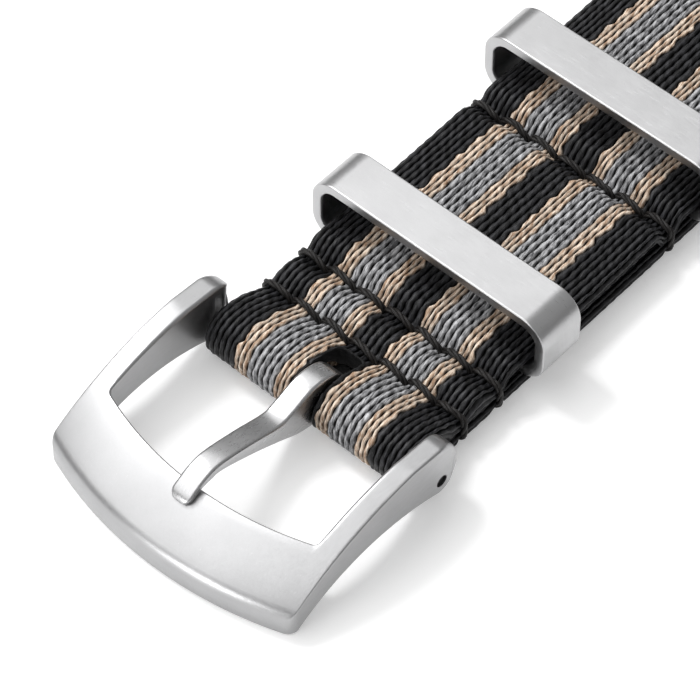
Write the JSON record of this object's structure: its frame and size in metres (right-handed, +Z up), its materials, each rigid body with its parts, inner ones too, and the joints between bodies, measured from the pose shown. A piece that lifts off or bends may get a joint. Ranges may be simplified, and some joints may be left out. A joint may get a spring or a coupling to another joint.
{
  "type": "nylon watch strap",
  "caption": "One-piece striped nylon watch strap with a sewn buckle end, steel pin buckle on a spring bar, steel keepers and a second short strap beneath.",
  "frame": {"origin": "middle of the strap's length and width, on the table under it", "axes": "+X along the strap from the buckle to the free tip, +Y across it, +Z up out of its face"},
  "size_m": [0.2808, 0.0244, 0.0078],
  "materials": {
    "webbing": "ribbed nylon webbing with black edges, tan and grey stripes and a black middle stripe",
    "thread": "thick twisted black polyester thread",
    "buckle_steel": "satin steel",
    "keeper_steel": "satin steel, brushed round the band",
    "pin_steel": "plain turned steel",
    "spring_steel": "drawn spring wire"
  },
  "bodies": {
    "strap": {"strap_buckle_end": "webbing", "under_strap_start": "webbing", "needle_thread_1": "thread", "needle_thread_2": "thread", "needle_thread_3": "thread", "needle_thread_4": "thread", "needle_thread_5": "thread", "bobbin_thread_1": "thread", "bobbin_thread_2": "thread", "bobbin_thread_3": "thread", "bobbin_thread_4": "thread", "bobbin_thread_5": "thread"},
    "buckle": {"buckle_frame": "buckle_steel", "bar_barrel": "pin_steel", "bar_spring": "spring_steel"},
    "tongue": {"buckle_tongue": "buckle_steel"},
    "plunger_left": {"bar_plunger_left": "pin_steel"},
    "plunger_right": {"bar_plunger_right": "pin_steel"},
    "front_keeper": {"keeper_front": "keeper_steel"},
    "rear_keeper": {"keeper_rear": "keeper_steel"},
    "middle": {"strap_middle": "webbing", "under_strap_end": "webbing", "keeper_end": "keeper_steel", "needle_thread_6": "thread", "needle_thread_7": "thread", "bobbin_thread_6": "thread", "bobbin_thread_7": "thread"},
    "tail": {"strap_tail": "webbing"}
  },
  "joints": [
    {"name": "frame_swing", "type": "hinge", "parent": "strap", "child": "buckle", "pos_m": [-0.1216, 0, 0.00225], "axis": [0, 1, 0], "range_deg": [-50, 50]},
    {"name": "tongue_swing", "type": "hinge", "parent": "buckle", "child": "tongue", "pos_m": [-0.1216, 0, 0.00225], "axis": [0, 1, 0], "range_deg": [0, 70]},
    {"name": "left_plunger", "type": "slide", "parent": "buckle", "child": "plunger_left", "axis": [0, -1, 0], "range_m": [0, 0.002], "stiffness_N_per_m": 300, "springref_m": -0.002, "deforming": ["bar_spring"]},
    {"name": "right_plunger", "type": "slide", "parent": "buckle", "child": "plunger_right", "axis": [0, 1, 0], "range_m": [0, 0.002], "stiffness_N_per_m": 300, "springref_m": -0.002, "deforming": ["bar_spring"]},
    {"name": "front_keeper_slide", "type": "slide", "parent": "strap", "child": "front_keeper", "axis": [1, 0, 0], "range_m": [-0.0012, 0.011]},
    {"name": "rear_keeper_slide", "type": "slide", "parent": "strap", "child": "rear_keeper", "axis": [1, 0, 0], "range_m": [-0.0012, 0.0074]},
    {"name": "wrist_bend", "type": "hinge", "parent": "strap", "child": "middle", "pos_m": [-0.0556, 0, 0.0013], "axis": [0, 1, 0], "range_deg": [-60, 60]},
    {"name": "tail_bend", "type": "hinge", "parent": "middle", "child": "tail", "pos_m": [0.0144, 0, 0.00065], "axis": [0, 1, 0], "range_deg": [-60, 60]}
  ]
}
